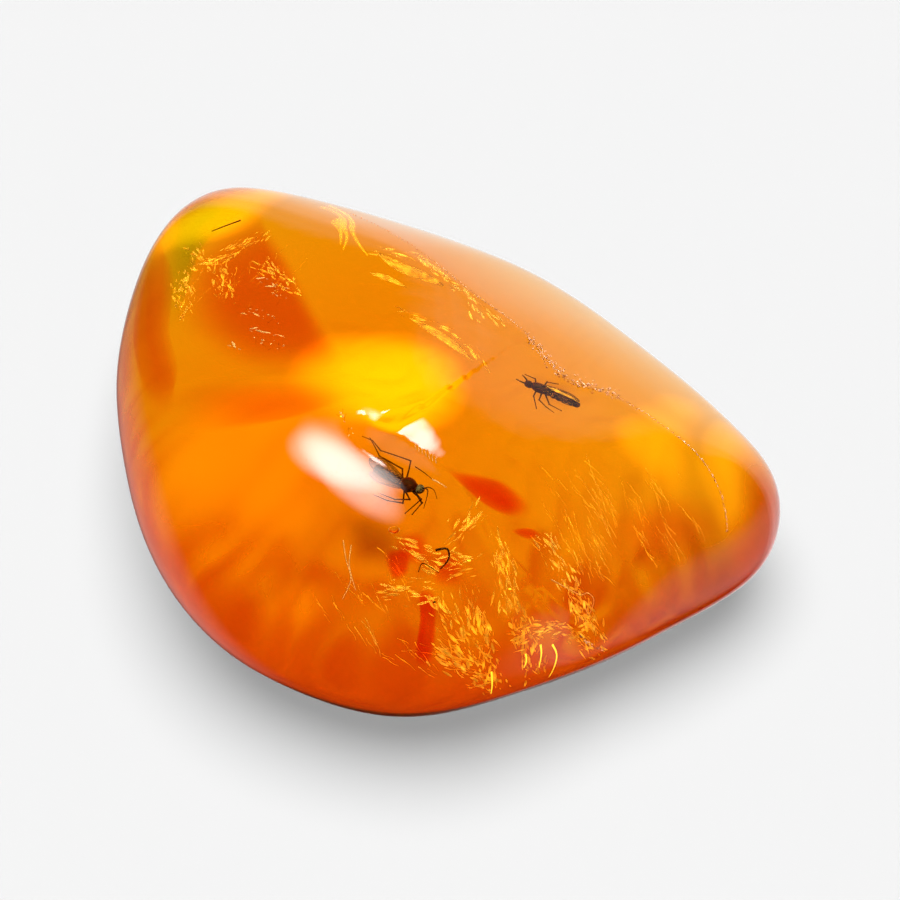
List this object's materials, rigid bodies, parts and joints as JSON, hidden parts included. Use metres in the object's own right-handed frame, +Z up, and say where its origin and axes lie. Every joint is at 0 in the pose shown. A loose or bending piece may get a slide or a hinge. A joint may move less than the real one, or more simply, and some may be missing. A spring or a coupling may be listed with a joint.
{
  "type": "insect in amber",
  "caption": "Polished clear amber pebble lying on its flat, with small dark flies sealed in pockets just under its upper face.",
  "frame": {"origin": "middle of the footprint box, on the flat that the pebble rests on", "axes": "+Z up, +X along the length towards the blunt right tip, +Y towards the far left corner and the back edge"},
  "size_m": [0.0465, 0.0441, 0.0202],
  "materials": {
    "amber": "clear honey-orange amber, hand polished",
    "gnat": "dark brown chitin with smoky wings",
    "fly": "grey-brown chitin with a silvery glint"
  },
  "bodies": {
    "root": {"amber_upper": "amber", "amber_lower": "amber", "gnat": "gnat", "fly": "fly"}
  },
  "joints": []
}
